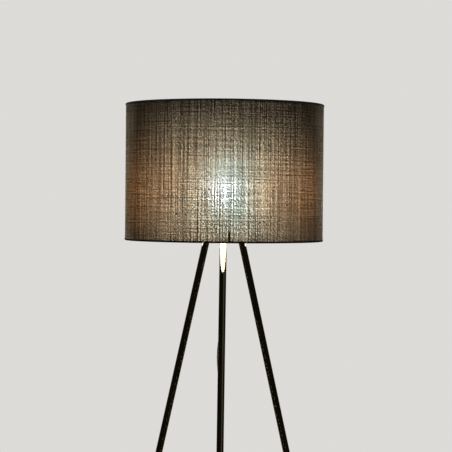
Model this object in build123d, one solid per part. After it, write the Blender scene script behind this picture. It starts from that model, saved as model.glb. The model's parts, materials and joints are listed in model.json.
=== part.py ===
"""Tripod floor lamp: a linen drum shade over three splayed brass legs, with cord, foot switch and plug.

Millimetres, +Z up. Every piece is built about the lamp's own upright axis, standing on z = 0, and is
then moved so that the origin is the middle of the standing lamp's box, on the floor.
"""
import os
from math import cos, hypot, pi, radians, sin, sqrt, tan

from build123d import *

# Shade: linen on a stiff white backing, rolled round two steel rings and edged with black tape
SHADE_DIAMETER = 450.0
SHADE_HEIGHT = 309.0
SHADE_BOTTOM = 1200.0
FABRIC_THICKNESS = 0.6
BACKING_THICKNESS = 0.4
TAPE_THICKNESS = 0.5
TAPE_WIDTH = 4.4
RING_WIRE = 4.0
LAYER_GAP = 0.1

# Spider: the welded frame that carries the shade
SPOKE_COUNT = 3
SPOKE_WIRE = 3.6
SPOKE_RISE = 26.0
SPOKE_BEND = 9.0
SPOKE_TURN = 4.5
FITTER_WIDTH = 12.0
FITTER_THICKNESS = 1.5
FITTER_CLEARANCE = 0.3
SPOKE_WELD = 2.5

# Legs: tubes that screw on to studs in the hub, with a rubber foot each
LEG_DIAMETER = 16.0
LEG_WALL = 1.2
LEG_LEAN = 14.2
LEG_CIRCLE = 45.6
PLUG_LENGTH_IN_LEG = 24.0
STUD_DIAMETER = 10.0
STUD_IN_LEG = 18.0
STUD_IN_HUB = 8.0
FOOT_WALL = 3.0
FOOT_HEIGHT = 34.0
FOOT_BASE = 9.0
FOOT_EDGE = 2.0
PUSH_CLEARANCE = 0.05

# Hub: one turned piece, a cone with the same slope as the legs
HUB_INSET = 3.0
HUB_HEIGHT = 20.0
HUB_RIM = 4.0
HUB_EDGE = 2.0
SOCKET_DEPTH = 8.0
SOCKET_CLEARANCE = 0.1
DRILL_POINT = 0.5
RECESS_DIAMETER = 48.0
RECESS_DEPTH = 10.0

# Threaded nipple through the hub, with its washer, nut and cord gland
NIPPLE_DIAMETER = 10.0
NIPPLE_BORE = 7.4
NIPPLE_BELOW_NUT = 6.0
NIPPLE_IN_HOLDER = 9.0
THREAD_CLEARANCE = 0.05
WASHER_DIAMETER = 26.0
WASHER_THICKNESS = 1.2
NUT_ACROSS_FLATS = 16.0
NUT_HEIGHT = 4.0
GLAND_DIAMETER = 16.0
GLAND_NOSE_DIAMETER = 9.0
GLAND_NOSE = 16.0

# Lampholder: a terminal cap, a threaded skirt with two clamp rings, an insert, a screw shell, a contact
HOLDER_DIAMETER = 40.0
CAP_HEIGHT = 18.0
CAP_FOOT_DIAMETER = 24.0
CAP_SHOULDER = 9.0
CAP_WALL = 2.4
CAP_FLOOR = 6.0
CAP_ROUND = 6.0
SKIRT_DIAMETER = 39.0
SKIRT_HEIGHT = 36.0
SKIRT_BORE = 31.0
SPIGOT_LENGTH = 6.0
SPIGOT_LEDGE = 3.0
LEDGE_BORE = 22.0
INSERT_HEIGHT = 7.0
CONTACT_DIAMETER = 8.0
CONTACT_HEIGHT = 1.2
CONTACT_GAP = 0.3
SHELL_BORE = 26.8
SHELL_WALL = 0.4
SHELL_HEIGHT = 26.0
CLAMP_START = 1.0
CLAMP_WIDTH = 8.5
CLAMP_HEIGHT = 3.5
CLAMP_CLEARANCE = 0.1
GRIP_COUNT = 16
GRIP_DEPTH = 0.8
GRIP_DIAMETER = 4.0

# Bulb: a frosted pear bulb on a large screw cap, with four lit sticks on a glass stem
TIP_DIAMETER = 9.4
TIP_HEIGHT = 1.5
INSULATOR_HEIGHT = 4.0
INSULATOR_TOP_DIAMETER = 22.0
BULB_CAP_DIAMETER = 26.1
BULB_CAP_HEIGHT = 21.5
BULB_CAP_WALL = 0.3
BULB_CAP_CONE = 2.5
GLASS_DIAMETER = 55.0
GLASS_CENTRE = 70.5
GLASS_WALL = 0.8
GLASS_NECK_DIAMETER = 25.0
GLASS_IN_CAP = 10.0
GLASS_SHOULDER_ANGLE = 38.0
STEM_DIAMETER = 8.0
STEM_FOOT_CLEARANCE = 0.1
STEM_FOOT_HEIGHT = 4.0
STEM_COLLAR_DIAMETER = 16.0
STEM_COLLAR_HEIGHT = 3.0
STICK_DIAMETER = 2.0
STICK_LENGTH = 32.0
STICK_COUNT = 4
STICK_INSET = 1.6

# Cord: down from the gland, through the foot switch, into a tied coil and on to the plug
CORD_DIAMETER = 6.0
CORD_LIFT = 0.2
BEND_SHARE = 0.45
COIL_CENTRE_X = 70.0
COIL_CENTRE_Y = 112.0
COIL_REACH = 46.0
COIL_STEP = 6.5
COIL_CLIMB_STEP = 4.75
COIL_HALF_TURNS_IN = 6
COIL_HALF_TURNS_OUT = 5
TIE_THICKNESS = 0.8
TIE_WIDTH = 11.0
TIE_CLEARANCE = 0.4

# Foot switch: a two-part housing with a sprung push button
SWITCH_X = 179.0
SWITCH_Y = 8.0
SWITCH_LENGTH = 84.0
SWITCH_WIDTH = 46.0
SWITCH_SPLIT = 8.0
SWITCH_HEIGHT = 22.0
SWITCH_WALL = 2.5
SWITCH_ROUND = 6.0
BUTTON_DIAMETER = 26.0
BUTTON_PROUD = 5.0
BUTTON_FLANGE = 3.0
BUTTON_FLANGE_HEIGHT = 2.0
BUTTON_CLEARANCE = 0.4
BUTTON_REST_GAP = 0.3
BUTTON_ROUND = 1.8
SPRING_DIAMETER = 14.0
SPRING_WIRE = 1.2
SPRING_HALF_TURNS = 10
SPRING_GAP = 0.3
TERMINAL_THICKNESS = 0.8
TERMINAL_WIDTH = 8.0
TERMINAL_LENGTH = 14.0
TERMINAL_HEIGHT = 9.0
TERMINAL_OFFSET = 21.0
SLEEVE_DIAMETER = 10.0
SLEEVE_TIP_DIAMETER = 8.0
SLEEVE_LENGTH = 20.0
SLEEVE_IN_HOUSING = 4.0

# Mains plug: a flat moulded body with two round pins
PLUG_X = -109.5
PLUG_Y = -10.0
PLUG_LENGTH = 36.0
PLUG_WIDTH = 26.0
PLUG_HEIGHT = 14.0
PLUG_NECK_WIDTH = 11.0
PLUG_NECK_LENGTH = 14.0
PLUG_ROUND = 3.0
TAIL_LENGTH = 24.0
TAIL_DIAMETER = 10.0
TAIL_TIP_DIAMETER = 8.0
PIN_DIAMETER = 4.0
PIN_LENGTH = 19.0
PIN_ROOT_DIAMETER = 5.0
PIN_ROOT_LENGTH = 8.0
PIN_SPACING = 18.6

# Levels and radii that follow from the sizes above
BASE = (Align.CENTER, Align.CENTER, Align.MIN)
shade_radius = SHADE_DIAMETER / 2
shade_top = SHADE_BOTTOM + SHADE_HEIGHT
fabric_outer = shade_radius - TAPE_THICKNESS - LAYER_GAP
fabric_inner = fabric_outer - FABRIC_THICKNESS
backing_outer = fabric_inner - LAYER_GAP
backing_inner = backing_outer - BACKING_THICKNESS
ring_inset = TAPE_THICKNESS + LAYER_GAP + RING_WIRE / 2
lean = radians(LEG_LEAN)
leg_radius = LEG_DIAMETER / 2
hub_bottom = SHADE_BOTTOM + HUB_INSET
hub_top = hub_bottom + HUB_HEIGHT
hub_radius = LEG_CIRCLE + leg_radius / cos(lean) + HUB_RIM
foot_circle = LEG_CIRCLE + hub_bottom * tan(lean)
foot_radius = leg_radius + PUSH_CLEARANCE + FOOT_WALL
leg_top = hub_bottom / cos(lean) + SOCKET_DEPTH
recess_top = hub_bottom + RECESS_DEPTH
nut_top = recess_top - WASHER_THICKNESS
nut_bottom = nut_top - NUT_HEIGHT
nipple_bottom = nut_bottom - NIPPLE_BELOW_NUT
gland_bottom = nipple_bottom - GLAND_NOSE
cap_top = hub_top + CAP_HEIGHT
skirt_top = cap_top + SKIRT_HEIGHT
skirt_radius = SKIRT_DIAMETER / 2
spigot_radius = HOLDER_DIAMETER / 2 - CAP_WALL - THREAD_CLEARANCE
ledge_top = cap_top - SPIGOT_LENGTH + SPIGOT_LEDGE
insert_top = ledge_top + INSERT_HEIGHT
fitter_bottom = cap_top + CLAMP_START + CLAMP_HEIGHT
fitter_top = fitter_bottom + FITTER_THICKNESS
fitter_bore = skirt_radius + FITTER_CLEARANCE
clamp_reach = skirt_radius + CLAMP_WIDTH
fitter_reach = fitter_bore + FITTER_WIDTH
tip_bottom = insert_top + CONTACT_HEIGHT + CONTACT_GAP
cord_radius = CORD_DIAMETER / 2
floor_level = cord_radius + CORD_LIFT
coil_low = cord_radius + TIE_THICKNESS + TIE_CLEARANCE
coil_high = coil_low + COIL_STEP
switch_reach = SWITCH_LENGTH / 2 + SLEEVE_LENGTH - SLEEVE_IN_HOUSING

LEGS = {"front": -90.0, "right": 30.0, "left": 150.0}

# The route of the cord's free stretches, as x, y, z points chosen by hand
cord_drop_route = [
    (0, 0, gland_bottom),
    (0, 0, 1150),
    (-1.2, 1.2, 1092),
    (-3.6, 2.6, 1034),
    (-6.8, 3.4, 984),
    (-11.6, 3.4, 937),
    (-7.4, 2.6, 888),
    (-4.4, 1.0, 828),
    (-3.6, -1.4, 754),
    (-4.6, -3.8, 678),
    (-6.8, -5.0, 600),
    (-9.4, -4.4, 522),
    (-11.2, -2.6, 446),
    (-11.4, -0.8, 372),
    (-9.0, 0.8, 302),
    (-3.6, 2.2, 238),
    (5.0, 3.6, 180),
    (17.0, 5.0, 128),
    (33.4, 6.4, 82),
    (54.0, 7.4, 45),
    (78.0, SWITCH_Y, 19),
    (101.0, SWITCH_Y, SWITCH_SPLIT),
    (SWITCH_X - switch_reach, SWITCH_Y, SWITCH_SPLIT),
]
cord_lead_route = [
    (SWITCH_X + switch_reach, SWITCH_Y, SWITCH_SPLIT),
    (254, SWITCH_Y, SWITCH_SPLIT),
    (272, 14.5, 5.4),
    (286, 30, 3.6),
    (292, 53, floor_level),
    (290, 80, floor_level),
    (279, 105, floor_level),
    (260, 125.5, floor_level),
    (233, 140.5, floor_level),
    (198, 150.5, floor_level),
    (160, 156.2, 3.7),
    (118, COIL_CENTRE_Y + COIL_REACH, coil_low),
    (COIL_CENTRE_X + CORD_DIAMETER, COIL_CENTRE_Y + COIL_REACH, coil_low),
]


def rod(radius, low, high):
    """A round bar about Z between two heights."""
    return Pos(0, 0, low) * Cylinder(radius, high - low, align=BASE)


def tube(outer, inner, low, high):
    """A round tube about Z between two heights."""
    return rod(outer, low, high) - rod(inner, low, high)


def turned(*points):
    """A solid of revolution about Z from (radius, height) points."""
    return revolve(make_face(Plane.XZ * Polyline(*points, close=True)), Axis.Z)


def polar(radius, azimuth, height):
    """A point at a radius and azimuth from the lamp's axis."""
    return Vector(radius * cos(radians(azimuth)), radius * sin(radians(azimuth)), height)


def leg_frame(azimuth):
    """A leg's frame: origin where its axis meets the floor, Z up along the leg."""
    outward = polar(1, azimuth, 0)
    up = Vector(0, 0, cos(lean)) - outward * sin(lean)
    across = outward * cos(lean) + Vector(0, 0, sin(lean))
    return Plane(origin=outward * foot_circle, x_dir=across, z_dir=up).location


def round_tube(path, radius):
    """A round tube swept along a wire."""
    start = Plane(origin=path @ 0, z_dir=path % 0)
    return sweep(start * Circle(radius), path=path)


def bend_radii(points):
    """The largest bend at each inner point that leaves its two runs some straight length."""
    radii = []
    for before, here, after in zip(points, points[1:], points[2:]):
        first = Vector(*here) - Vector(*before)
        second = Vector(*after) - Vector(*here)
        half_turn = radians(first.get_angle(second)) / 2
        radii.append(BEND_SHARE * min(first.length, second.length) / tan(half_turn))
    return radii


def cord_tube(name, points):
    """A free stretch of the cord along its route, with its bends and volume reported."""
    radii = bend_radii(points)
    path = FilletPolyline(*points, radius=radii).wire()
    solid = round_tube(path, cord_radius)
    share = solid.volume / (pi * cord_radius**2 * path.length)
    bends = f"bends {min(radii):.0f} to {max(radii):.0f}"
    print(f"{name}: length {path.length:.0f}, {bends}, volume {share:.4f}")
    return solid


def half_turn(start, end, side):
    """Half a turn from start to end, bulging to one side along X, flat at both ends."""
    middle = (start + end) * 0.5
    reach = (end - start).length / 2
    return ThreePointArc(start, middle + Vector(side * reach, 0, 0), end)


def least_self_gap(path, diameter, count):
    """The least gap between a wound tube and its own neighbouring turns, from points along it."""
    points = [path @ (index / count) for index in range(count + 1)]
    step = path.length / count
    skip = int(2.5 * diameter / step) + 1
    gaps = [
        (points[one] - points[two]).length
        for one in range(count + 1)
        for two in range(one + skip, count + 1)
    ]
    return min(gaps) - diameter


def wound_path(corners, lead_in, lead_out):
    """A wire of half turns through the corners, with straight ends along X where asked for."""
    runs = []
    for index, (start, end) in enumerate(zip(corners, corners[1:])):
        side = -1 if index % 2 == 0 else 1
        runs.append(half_turn(start, end, side))
    if lead_in:
        runs.insert(0, Line(corners[0] + Vector(lead_in, 0, 0), corners[0]))
    if lead_out:
        runs.append(Line(corners[-1], corners[-1] + Vector(lead_out, 0, 0)))
    return Wire([run.edge() for run in runs])


def make_shade():
    """The covering, its backing, the two rings, the spider and the edge tapes."""
    low = SHADE_BOTTOM + TAPE_THICKNESS
    high = shade_top - TAPE_THICKNESS
    ring_radius = backing_inner - LAYER_GAP - RING_WIRE / 2
    tape_inner = ring_radius - RING_WIRE / 2 - LAYER_GAP - TAPE_THICKNESS
    tape = turned(
        (tape_inner, 0),
        (shade_radius, 0),
        (shade_radius, TAPE_WIDTH),
        (shade_radius - TAPE_THICKNESS, TAPE_WIDTH),
        (shade_radius - TAPE_THICKNESS, TAPE_THICKNESS),
        (tape_inner + TAPE_THICKNESS, TAPE_THICKNESS),
        (tape_inner + TAPE_THICKNESS, TAPE_WIDTH),
        (tape_inner, TAPE_WIDTH),
    )
    ring = Torus(ring_radius, RING_WIRE / 2)
    spoke_path = Plane.XZ * FilletPolyline(
        (ring_radius, SHADE_BOTTOM + ring_inset),
        (ring_radius, SHADE_BOTTOM + SPOKE_RISE),
        (fitter_reach - SPOKE_WELD, (fitter_bottom + fitter_top) / 2),
        radius=SPOKE_BEND,
    )
    spoke = round_tube(spoke_path.wire(), SPOKE_WIRE / 2)
    spider = Pos(0, 0, SHADE_BOTTOM + ring_inset) * ring
    spider += tube(fitter_reach, fitter_bore, fitter_bottom, fitter_top)
    for index in range(SPOKE_COUNT):
        spider += Rot(0, 0, LEGS["front"] + SPOKE_TURN + 360 / SPOKE_COUNT * index) * spoke
    return {
        "shade_fabric": tube(fabric_outer, fabric_inner, low, high),
        "shade_backing": tube(backing_outer, backing_inner, low, high),
        "shade_top_ring": Pos(0, 0, shade_top - ring_inset) * ring,
        "shade_spider": spider,
        "shade_top_tape": Pos(0, 0, shade_top) * Rot(180, 0, 0) * tape,
        "shade_bottom_tape": Pos(0, 0, SHADE_BOTTOM) * tape,
    }


def make_legs():
    """The three tubes with their feet, and the studs and tapped plugs that join them to the hub."""
    bore = leg_radius - LEG_WALL
    leg = tube(leg_radius, bore, FOOT_BASE, leg_top)
    tapping = STUD_DIAMETER / 2 + THREAD_CLEARANCE
    plug = tube(bore - PUSH_CLEARANCE, tapping, leg_top - PLUG_LENGTH_IN_LEG, leg_top)
    stud = rod(STUD_DIAMETER / 2, leg_top - STUD_IN_LEG, leg_top + STUD_IN_HUB)
    foot = rod(foot_radius, -foot_radius, FOOT_HEIGHT)
    foot = fillet(foot.edges().group_by(Axis.Z)[-1], FOOT_EDGE)
    foot -= rod(leg_radius + PUSH_CLEARANCE, FOOT_BASE, FOOT_HEIGHT)
    wide = 4 * foot_circle
    below = Pos(0, 0, -wide) * Box(wide, wide, wide, align=BASE)
    pieces = {}
    for name, azimuth in LEGS.items():
        frame = leg_frame(azimuth)
        pieces[f"leg_{name}"] = frame * leg
        pieces[f"foot_{name}"] = frame * foot - below
    pieces["leg_plugs"] = Compound([leg_frame(azimuth) * plug for azimuth in LEGS.values()])
    pieces["leg_studs"] = Compound([leg_frame(azimuth) * stud for azimuth in LEGS.values()])
    return pieces


def make_hub():
    """The turned hub and what is screwed through its middle."""
    top_radius = hub_radius - HUB_HEIGHT * tan(lean)
    body = turned((0, hub_bottom), (hub_radius, hub_bottom), (top_radius, hub_top), (0, hub_top))
    body = fillet(body.edges().filter_by(GeomType.CIRCLE), HUB_EDGE)
    body -= rod(RECESS_DIAMETER / 2, hub_bottom, recess_top)
    body -= rod(NIPPLE_DIAMETER / 2 + THREAD_CLEARANCE, hub_bottom, hub_top)
    for azimuth in LEGS.values():
        socket = rod(leg_radius + SOCKET_CLEARANCE, FOOT_BASE, leg_top)
        hole = rod(STUD_DIAMETER / 2 + THREAD_CLEARANCE, leg_top, leg_top + STUD_IN_HUB + DRILL_POINT)
        body -= leg_frame(azimuth) * (socket + hole)
    thread = NIPPLE_DIAMETER / 2 + THREAD_CLEARANCE
    nut = extrude(RegularPolygon(NUT_ACROSS_FLATS / 2, 6, major_radius=False), NUT_HEIGHT)
    nut -= rod(thread, 0, NUT_HEIGHT)
    gland = turned(
        (cord_radius + THREAD_CLEARANCE, gland_bottom),
        (GLAND_NOSE_DIAMETER / 2, gland_bottom),
        (GLAND_DIAMETER / 2, nipple_bottom),
        (GLAND_DIAMETER / 2, nut_bottom),
        (thread, nut_bottom),
        (thread, nipple_bottom),
        (cord_radius + THREAD_CLEARANCE, nipple_bottom),
    )
    return {
        "hub_body": body,
        "hub_nipple": tube(NIPPLE_DIAMETER / 2, NIPPLE_BORE / 2, nipple_bottom, hub_top + NIPPLE_IN_HOLDER),
        "hub_washer": tube(WASHER_DIAMETER / 2, thread, nut_top, recess_top),
        "hub_nut": Pos(0, 0, nut_bottom) * nut,
        "cord_gland": gland,
        "cord_in_nipple": rod(cord_radius, gland_bottom, hub_top + NIPPLE_IN_HOLDER),
    }


def clamp_ring(low):
    """A shade clamp ring with finger grips round its rim."""
    ring = tube(clamp_reach, skirt_radius + CLAMP_CLEARANCE, low, low + CLAMP_HEIGHT)
    grip_circle = clamp_reach + GRIP_DIAMETER / 2 - GRIP_DEPTH
    for index in range(GRIP_COUNT):
        place = polar(grip_circle, 360 / GRIP_COUNT * index, 0)
        ring -= Pos(place.X, place.Y, 0) * rod(GRIP_DIAMETER / 2, low, low + CLAMP_HEIGHT)
    return ring


def make_lampholder():
    """The lampholder, which the nipple carries and the shade is clamped to."""
    thread = NIPPLE_DIAMETER / 2 + THREAD_CLEARANCE
    reach = HOLDER_DIAMETER / 2
    cap = turned(
        (0, hub_top),
        (CAP_FOOT_DIAMETER / 2, hub_top),
        (reach, hub_top + CAP_SHOULDER),
        (reach, cap_top),
        (0, cap_top),
    )
    shoulder = cap.edges().filter_by(GeomType.CIRCLE).group_by(Axis.Z)[1]
    cap = fillet(shoulder, CAP_ROUND)
    cap -= rod(thread, hub_top, cap_top)
    cap -= rod(reach - CAP_WALL, hub_top + CAP_SHOULDER + CAP_FLOOR / 2, cap_top)
    cap -= turned(
        (0, hub_top + CAP_FLOOR),
        (CAP_FOOT_DIAMETER / 2 - CAP_WALL, hub_top + CAP_FLOOR),
        (reach - CAP_WALL, hub_top + CAP_SHOULDER + CAP_FLOOR / 2),
        (0, hub_top + CAP_SHOULDER + CAP_FLOOR / 2),
    )
    skirt = turned(
        (LEDGE_BORE / 2, cap_top - SPIGOT_LENGTH),
        (spigot_radius, cap_top - SPIGOT_LENGTH),
        (spigot_radius, cap_top),
        (skirt_radius, cap_top),
        (skirt_radius, skirt_top),
        (SKIRT_BORE / 2, skirt_top),
        (SKIRT_BORE / 2, ledge_top),
        (LEDGE_BORE / 2, ledge_top),
    )
    shell_outer = SHELL_BORE / 2 + SHELL_WALL
    return {
        "holder_cap": cap,
        "holder_skirt": skirt,
        "holder_insert": rod(SKIRT_BORE / 2 - PUSH_CLEARANCE, ledge_top, insert_top),
        "holder_shell": tube(shell_outer, SHELL_BORE / 2, insert_top, insert_top + SHELL_HEIGHT),
        "holder_contact": rod(CONTACT_DIAMETER / 2, insert_top, insert_top + CONTACT_HEIGHT),
        "clamp_ring_lower": clamp_ring(fitter_bottom - CLAMP_HEIGHT),
        "clamp_ring_upper": clamp_ring(fitter_top),
    }


def pear(inset):
    """The bulb's glass as a full solid, standing on its contact at z = 0, drawn in by an inset."""
    angle = radians(GLASS_SHOULDER_ANGLE)
    ball = GLASS_DIAMETER / 2 - inset
    neck = GLASS_NECK_DIAMETER / 2 - inset
    joint = (ball * cos(angle), GLASS_CENTRE - ball * sin(angle))
    flare_low = joint[1] - (joint[0] - neck) / tan(angle / 2)
    low = TIP_HEIGHT + INSULATOR_HEIGHT + BULB_CAP_HEIGHT - GLASS_IN_CAP
    outline = Line((0, low), (neck, low)) + Line((neck, low), (neck, flare_low))
    outline += TangentArc((neck, flare_low), joint, tangent=(0, 1))
    outline += CenterArc((0, GLASS_CENTRE), ball, -GLASS_SHOULDER_ANGLE, 90 + GLASS_SHOULDER_ANGLE)
    outline += Line((0, GLASS_CENTRE + ball), (0, low))
    return revolve(make_face(Plane.XZ * outline), Axis.Z)


def make_bulb():
    """The bulb, screwed home in the lampholder."""
    cap_low = TIP_HEIGHT + INSULATOR_HEIGHT
    cap_high = cap_low + BULB_CAP_HEIGHT
    outer = BULB_CAP_DIAMETER / 2
    inner = outer - BULB_CAP_WALL
    foot = INSULATOR_TOP_DIAMETER / 2
    cap = turned(
        (foot - BULB_CAP_WALL, cap_low),
        (foot, cap_low),
        (outer, cap_low + BULB_CAP_CONE),
        (outer, cap_high),
        (inner, cap_high),
        (inner, cap_low + BULB_CAP_CONE),
    )
    insulator = turned(
        (0, TIP_HEIGHT),
        (TIP_DIAMETER / 2, TIP_HEIGHT),
        (foot, cap_low),
        (0, cap_low),
    )
    glass_low = cap_high - GLASS_IN_CAP
    glass_floor = glass_low + GLASS_WALL
    stem_foot = GLASS_NECK_DIAMETER / 2 - GLASS_WALL - STEM_FOOT_CLEARANCE
    hollow = pear(GLASS_WALL) & rod(GLASS_DIAMETER, glass_floor, 2 * GLASS_CENTRE)
    stick_low = GLASS_CENTRE - STICK_LENGTH / 2
    stick_high = GLASS_CENTRE + STICK_LENGTH / 2
    collar = STEM_COLLAR_DIAMETER / 2
    stem = rod(stem_foot, glass_floor, glass_floor + STEM_FOOT_HEIGHT)
    stem += rod(STEM_DIAMETER / 2, glass_floor, stick_high)
    stem += rod(collar, stick_low - STEM_COLLAR_HEIGHT, stick_low)
    stem += rod(collar, stick_high, stick_high + STEM_COLLAR_HEIGHT)
    stick_circle = collar - STICK_INSET
    sticks = []
    for index in range(STICK_COUNT):
        place = polar(stick_circle, 360 / STICK_COUNT * index, 0)
        sticks.append(Pos(place.X, place.Y, 0) * rod(STICK_DIAMETER / 2, stick_low, stick_high))
    home = Pos(0, 0, tip_bottom)
    return {
        "bulb_tip": home * rod(TIP_DIAMETER / 2, 0, TIP_HEIGHT),
        "bulb_insulator": home * insulator,
        "bulb_cap": home * cap,
        "bulb_glass": home * (pear(0) - hollow),
        "bulb_stem": home * stem,
        "bulb_sticks": Compound([home * stick for stick in sticks]),
    }


def make_cord():
    """The free cord: the hanging drop, the lead to the coil, the tied coil and the end with its plug."""
    offsets = [COIL_REACH - COIL_STEP / 2 * index for index in range(COIL_HALF_TURNS_IN)]
    inner = offsets[-1] - COIL_CLIMB_STEP
    offsets += [inner, inner]
    upper_inner = offsets[COIL_HALF_TURNS_IN - 1]
    offsets += [upper_inner + COIL_STEP / 2 * index for index in range(COIL_HALF_TURNS_OUT)]
    corners = []
    for index, offset in enumerate(offsets):
        level = coil_low if index <= COIL_HALF_TURNS_IN else coil_high
        sign = 1 if index % 2 == 0 else -1
        corners.append(Vector(COIL_CENTRE_X, COIL_CENTRE_Y + sign * offset, level))
    path = wound_path(corners, CORD_DIAMETER, -CORD_DIAMETER)
    print(f"cord_coil: length {path.length:.0f}, least gap {least_self_gap(path, CORD_DIAMETER, 700):.2f}")
    end = path @ 1
    cord_end_route = [
        (end.X, end.Y, end.Z),
        (36, end.Y, end.Z),
        (5, 150.5, 8.4),
        (-27, 140, 5.0),
        (-58, 121.5, floor_level),
        (-84, 94, floor_level),
        (-101, 60, 3.8),
        (PLUG_X, 24, PLUG_HEIGHT / 2),
        (PLUG_X, PLUG_Y, PLUG_HEIGHT / 2),
    ]
    tie_inner_x = inner - cord_radius - TIE_CLEARANCE
    tie_outer_x = COIL_REACH - COIL_STEP / 2 + cord_radius + TIE_CLEARANCE
    tie_middle = COIL_CENTRE_X + (tie_inner_x + tie_outer_x) / 2
    tie_width = tie_outer_x - tie_inner_x
    tie_height = coil_high - coil_low + CORD_DIAMETER + 2 * TIE_CLEARANCE
    tie_level = (coil_low + coil_high) / 2
    thick = 2 * TIE_THICKNESS
    band = RectangleRounded(tie_width + thick, tie_height + thick, cord_radius + TIE_THICKNESS)
    band -= RectangleRounded(tie_width, tie_height, cord_radius)
    tie = extrude(Plane.XZ * band, TIE_WIDTH / 2, both=True)
    return {
        "cord_drop": cord_tube("cord_drop", cord_drop_route),
        "cord_lead": cord_tube("cord_lead", cord_lead_route),
        "cord_coil": round_tube(path, cord_radius),
        "coil_tie": Pos(tie_middle, COIL_CENTRE_Y, tie_level) * tie,
        "cord_end": cord_tube("cord_end", cord_end_route),
    }


def make_foot_switch():
    """The foot switch on the cord, with its button at rest."""
    outline = SlotOverall(SWITCH_LENGTH, SWITCH_WIDTH)
    room = SlotOverall(SWITCH_LENGTH - 2 * SWITCH_WALL, SWITCH_WIDTH - 2 * SWITCH_WALL)
    roof = SWITCH_HEIGHT - SWITCH_WALL
    base = extrude(outline, SWITCH_SPLIT) - Pos(0, 0, SWITCH_WALL) * extrude(room, SWITCH_SPLIT)
    cover = extrude(outline, SWITCH_HEIGHT)
    cover = fillet(cover.faces().sort_by(Axis.Z)[-1].edges(), SWITCH_ROUND)
    cover -= extrude(outline, SWITCH_SPLIT)
    inside = extrude(room, roof)
    cover -= fillet(inside.faces().sort_by(Axis.Z)[-1].edges(), SWITCH_ROUND - SWITCH_WALL)
    cover -= rod(BUTTON_DIAMETER / 2 + BUTTON_CLEARANCE, 0, SWITCH_HEIGHT)
    button_radius = BUTTON_DIAMETER / 2
    flange_top = roof - BUTTON_REST_GAP
    flange_low = flange_top - BUTTON_FLANGE_HEIGHT
    button = rod(button_radius, flange_low, SWITCH_HEIGHT + BUTTON_PROUD)
    button = fillet(button.edges().group_by(Axis.Z)[-1], BUTTON_ROUND)
    button += rod(button_radius + BUTTON_FLANGE, flange_low, flange_top)
    spring_low = SWITCH_WALL + SPRING_WIRE / 2
    spring_high = flange_low - SPRING_GAP - SPRING_WIRE / 2
    spring_radius = (SPRING_DIAMETER - SPRING_WIRE) / 2
    climb = (spring_high - spring_low) / (SPRING_HALF_TURNS - 2)
    levels = [spring_low]
    levels += [spring_low + climb * index for index in range(SPRING_HALF_TURNS - 1)]
    levels.append(spring_high)
    turns = []
    for index, level in enumerate(levels):
        sign = 1 if index % 2 == 0 else -1
        turns.append(Vector(0, sign * spring_radius, level))
    spring_path = wound_path(turns, 0, 0)
    terminal = Box(TERMINAL_LENGTH, TERMINAL_WIDTH, TERMINAL_THICKNESS, align=BASE)
    post = Box(TERMINAL_THICKNESS, TERMINAL_WIDTH, TERMINAL_HEIGHT, align=BASE)
    terminal += Pos((TERMINAL_LENGTH - TERMINAL_THICKNESS) / 2, 0, 0) * post
    sleeve = turned(
        (0, -SLEEVE_IN_HOUSING),
        (SLEEVE_DIAMETER / 2, -SLEEVE_IN_HOUSING),
        (SLEEVE_DIAMETER / 2, 0),
        (SLEEVE_TIP_DIAMETER / 2, SLEEVE_LENGTH - SLEEVE_IN_HOUSING),
        (0, SLEEVE_LENGTH - SLEEVE_IN_HOUSING),
    )
    ends = []
    for side in (-1, 1):
        inlet = (side * SWITCH_LENGTH / 2, 0, SWITCH_SPLIT)
        ends.append(Plane(inlet, z_dir=(side, 0, 0)).location)
    port = rod(SLEEVE_DIAMETER / 2 + PUSH_CLEARANCE, -SLEEVE_IN_HOUSING, SLEEVE_IN_HOUSING)
    for end in ends:
        base -= end * port
        cover -= end * port
    terminals = [Rot(0, 0, turn) * Pos(TERMINAL_OFFSET, 0, SWITCH_WALL) * terminal for turn in (0, 180)]
    place = Pos(SWITCH_X, SWITCH_Y, 0)
    return {
        "switch_base": place * base,
        "switch_cover": place * cover,
        "switch_button": place * button,
        "switch_spring": place * round_tube(spring_path, SPRING_WIRE / 2),
        "switch_terminals": Compound([place * piece for piece in terminals]),
        "switch_sleeves": Compound([place * end * sleeve for end in ends]),
    }


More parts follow.
